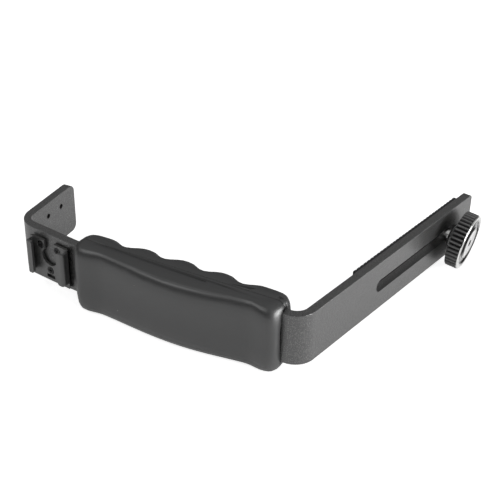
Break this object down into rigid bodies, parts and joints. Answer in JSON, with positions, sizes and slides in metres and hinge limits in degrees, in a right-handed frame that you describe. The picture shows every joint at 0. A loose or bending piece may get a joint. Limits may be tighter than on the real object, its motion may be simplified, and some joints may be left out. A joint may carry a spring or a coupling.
{
  "type": "camera bracket",
  "caption": "Bent flat-strap camera bracket with a moulded hand grip, a lipped accessory shoe, a rubber camera pad and a captive knob screw that slides along a slot.",
  "frame": {"origin": "bottom centre of the bracket's box, as it lies on its side", "axes": "+Z across the strap's width; +Y along the slotted base arm, away from the grip; +X out of the base arm's outer face, towards the knob, so -X is the way the camera is seated"},
  "size_m": [0.17, 0.1633, 0.0342],
  "materials": {
    "strap_coat": "black powder coat with a fine speckle",
    "shoe_coat": "satin black coat",
    "grip_plastic": "soft matte black moulding",
    "black_steel": "blackened screws",
    "pad_rubber": "black ribbed rubber",
    "ring_steel": "plain zinc-coloured rings",
    "bright_chrome": "bright plated metal",
    "knob_plastic": "black ribbed moulding",
    "satin_metal": "bright spun metal disc"
  },
  "bodies": {
    "frame": {"strap_frame": "strap_coat", "palm_shell": "grip_plastic", "finger_shell": "grip_plastic", "grip_screw_1": "black_steel", "grip_screw_2": "black_steel", "grip_screw_3": "black_steel", "shoe_plate": "shoe_coat", "shoe_screw_1": "black_steel", "shoe_screw_2": "black_steel", "shoe_screw_3": "black_steel", "camera_pad": "pad_rubber"},
    "ring": {"retaining_ring": "ring_steel"},
    "washer": {"thrust_washer": "ring_steel"},
    "screw": {"camera_screw": "bright_chrome", "knob_body": "knob_plastic", "knob_rim": "bright_chrome", "knob_cap": "satin_metal"}
  },
  "joints": [
    {"name": "screw_slide", "type": "slide", "parent": "frame", "child": "ring", "axis": [0, 1, 0], "range_m": [-0.0578, 0.0035]},
    {"name": "screw_spin", "type": "hinge", "parent": "ring", "child": "washer", "pos_m": [0.06863, 0.0612, 0.0171], "axis": [0.9775, 0.1583, -0.1391], "continuous": true},
    {"name": "screw_travel", "type": "slide", "parent": "washer", "child": "screw", "axis": [-0.9775, -0.1583, 0.1391], "range_m": [0, 0.0013]}
  ]
}
